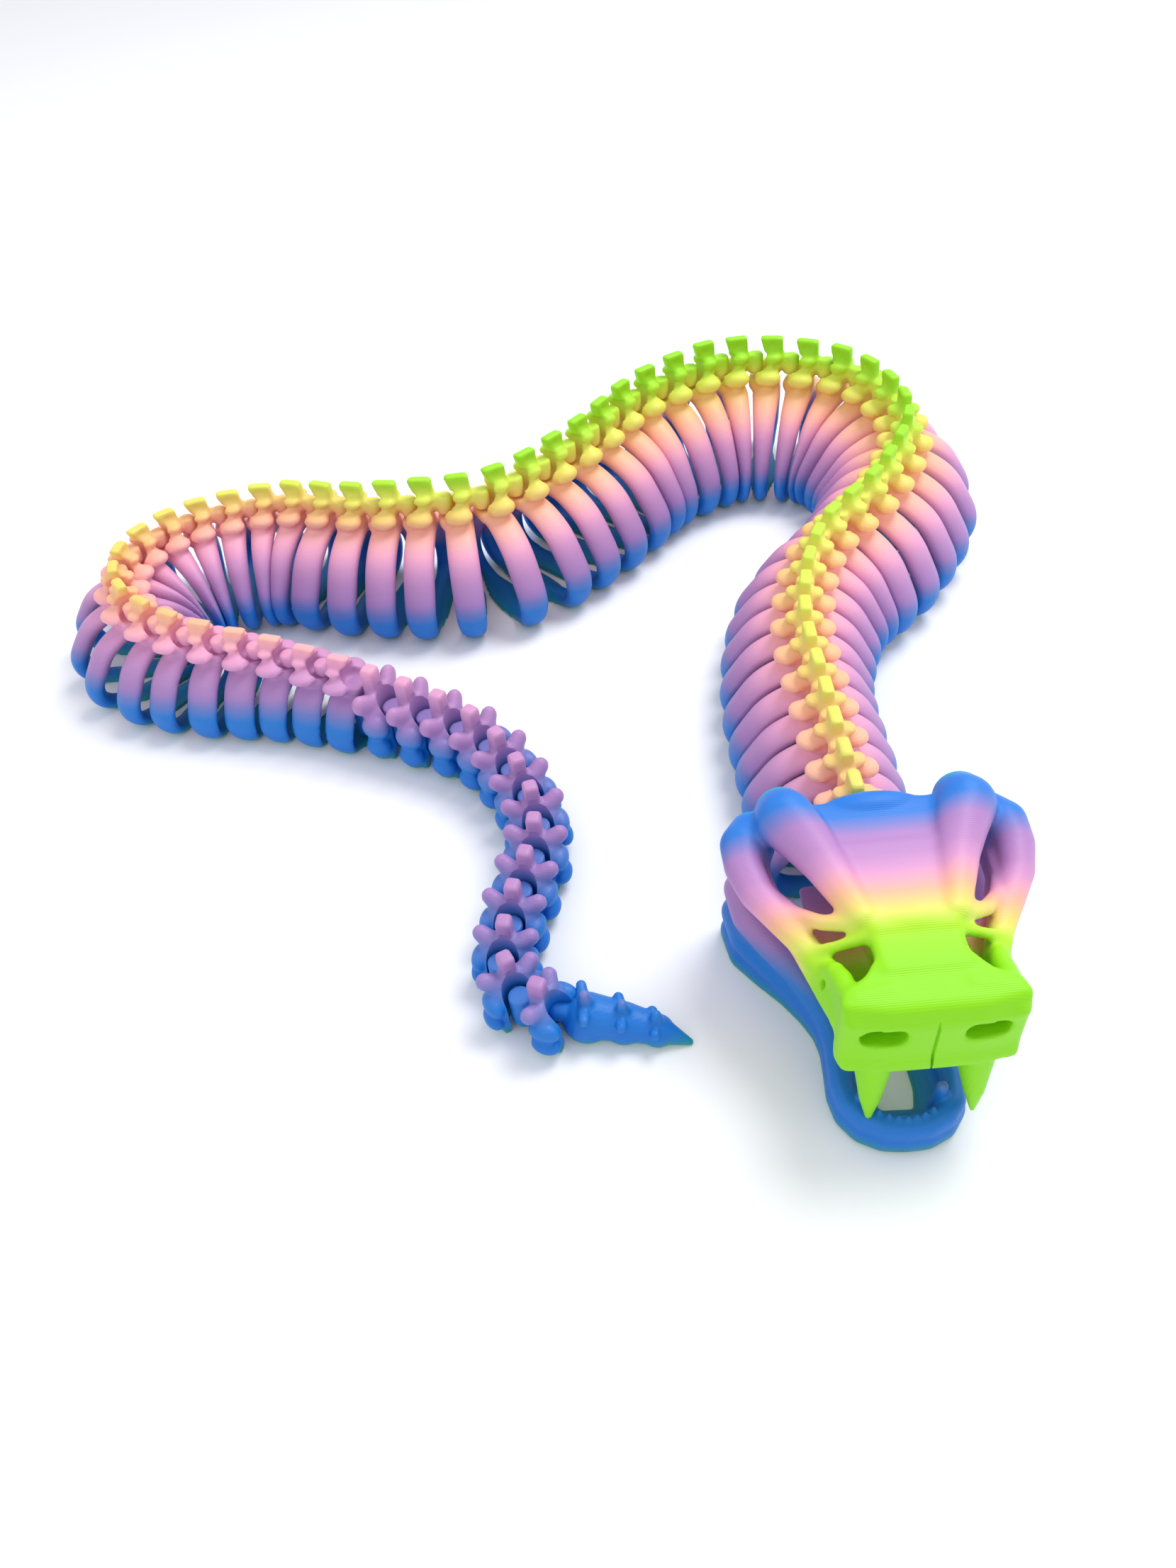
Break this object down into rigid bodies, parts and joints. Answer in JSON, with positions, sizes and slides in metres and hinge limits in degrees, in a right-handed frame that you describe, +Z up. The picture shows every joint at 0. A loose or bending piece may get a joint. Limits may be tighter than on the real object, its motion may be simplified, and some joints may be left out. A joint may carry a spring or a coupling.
{
  "type": "articulated snake skeleton toy",
  "caption": "3D-printed jointed toy in the form of a snake skeleton: a curving chain of rib rings with fins and knobs, a fanged skull and an open lower jaw, in rainbow-gradient filament",
  "frame": {"origin": "centre of the footprint at floor level", "axes": "+Z up; -Y is toward the snout, +X to the skull's own left side as it faces -Y; the chain lies in the XY plane"},
  "size_m": [0.2146, 0.2148, 0.038],
  "materials": {
    "filament_body": "satin, rainbow gradient with print height",
    "filament_skull": "satin, rainbow gradient with print height",
    "filament_jaw": "satin, rainbow gradient with print height"
  },
  "bodies": {
    "root": {"neck": "filament_body", "trunk_1": "filament_body", "trunk_2": "filament_body", "trunk_3": "filament_body", "trunk_4": "filament_body", "trunk_5": "filament_body", "trunk_6": "filament_body", "trunk_7": "filament_body", "tail_1": "filament_body", "tail_2": "filament_body", "tail_3": "filament_body", "tail_tip": "filament_body", "skull": "filament_skull", "lower_jaw": "filament_jaw"}
  },
  "joints": []
}
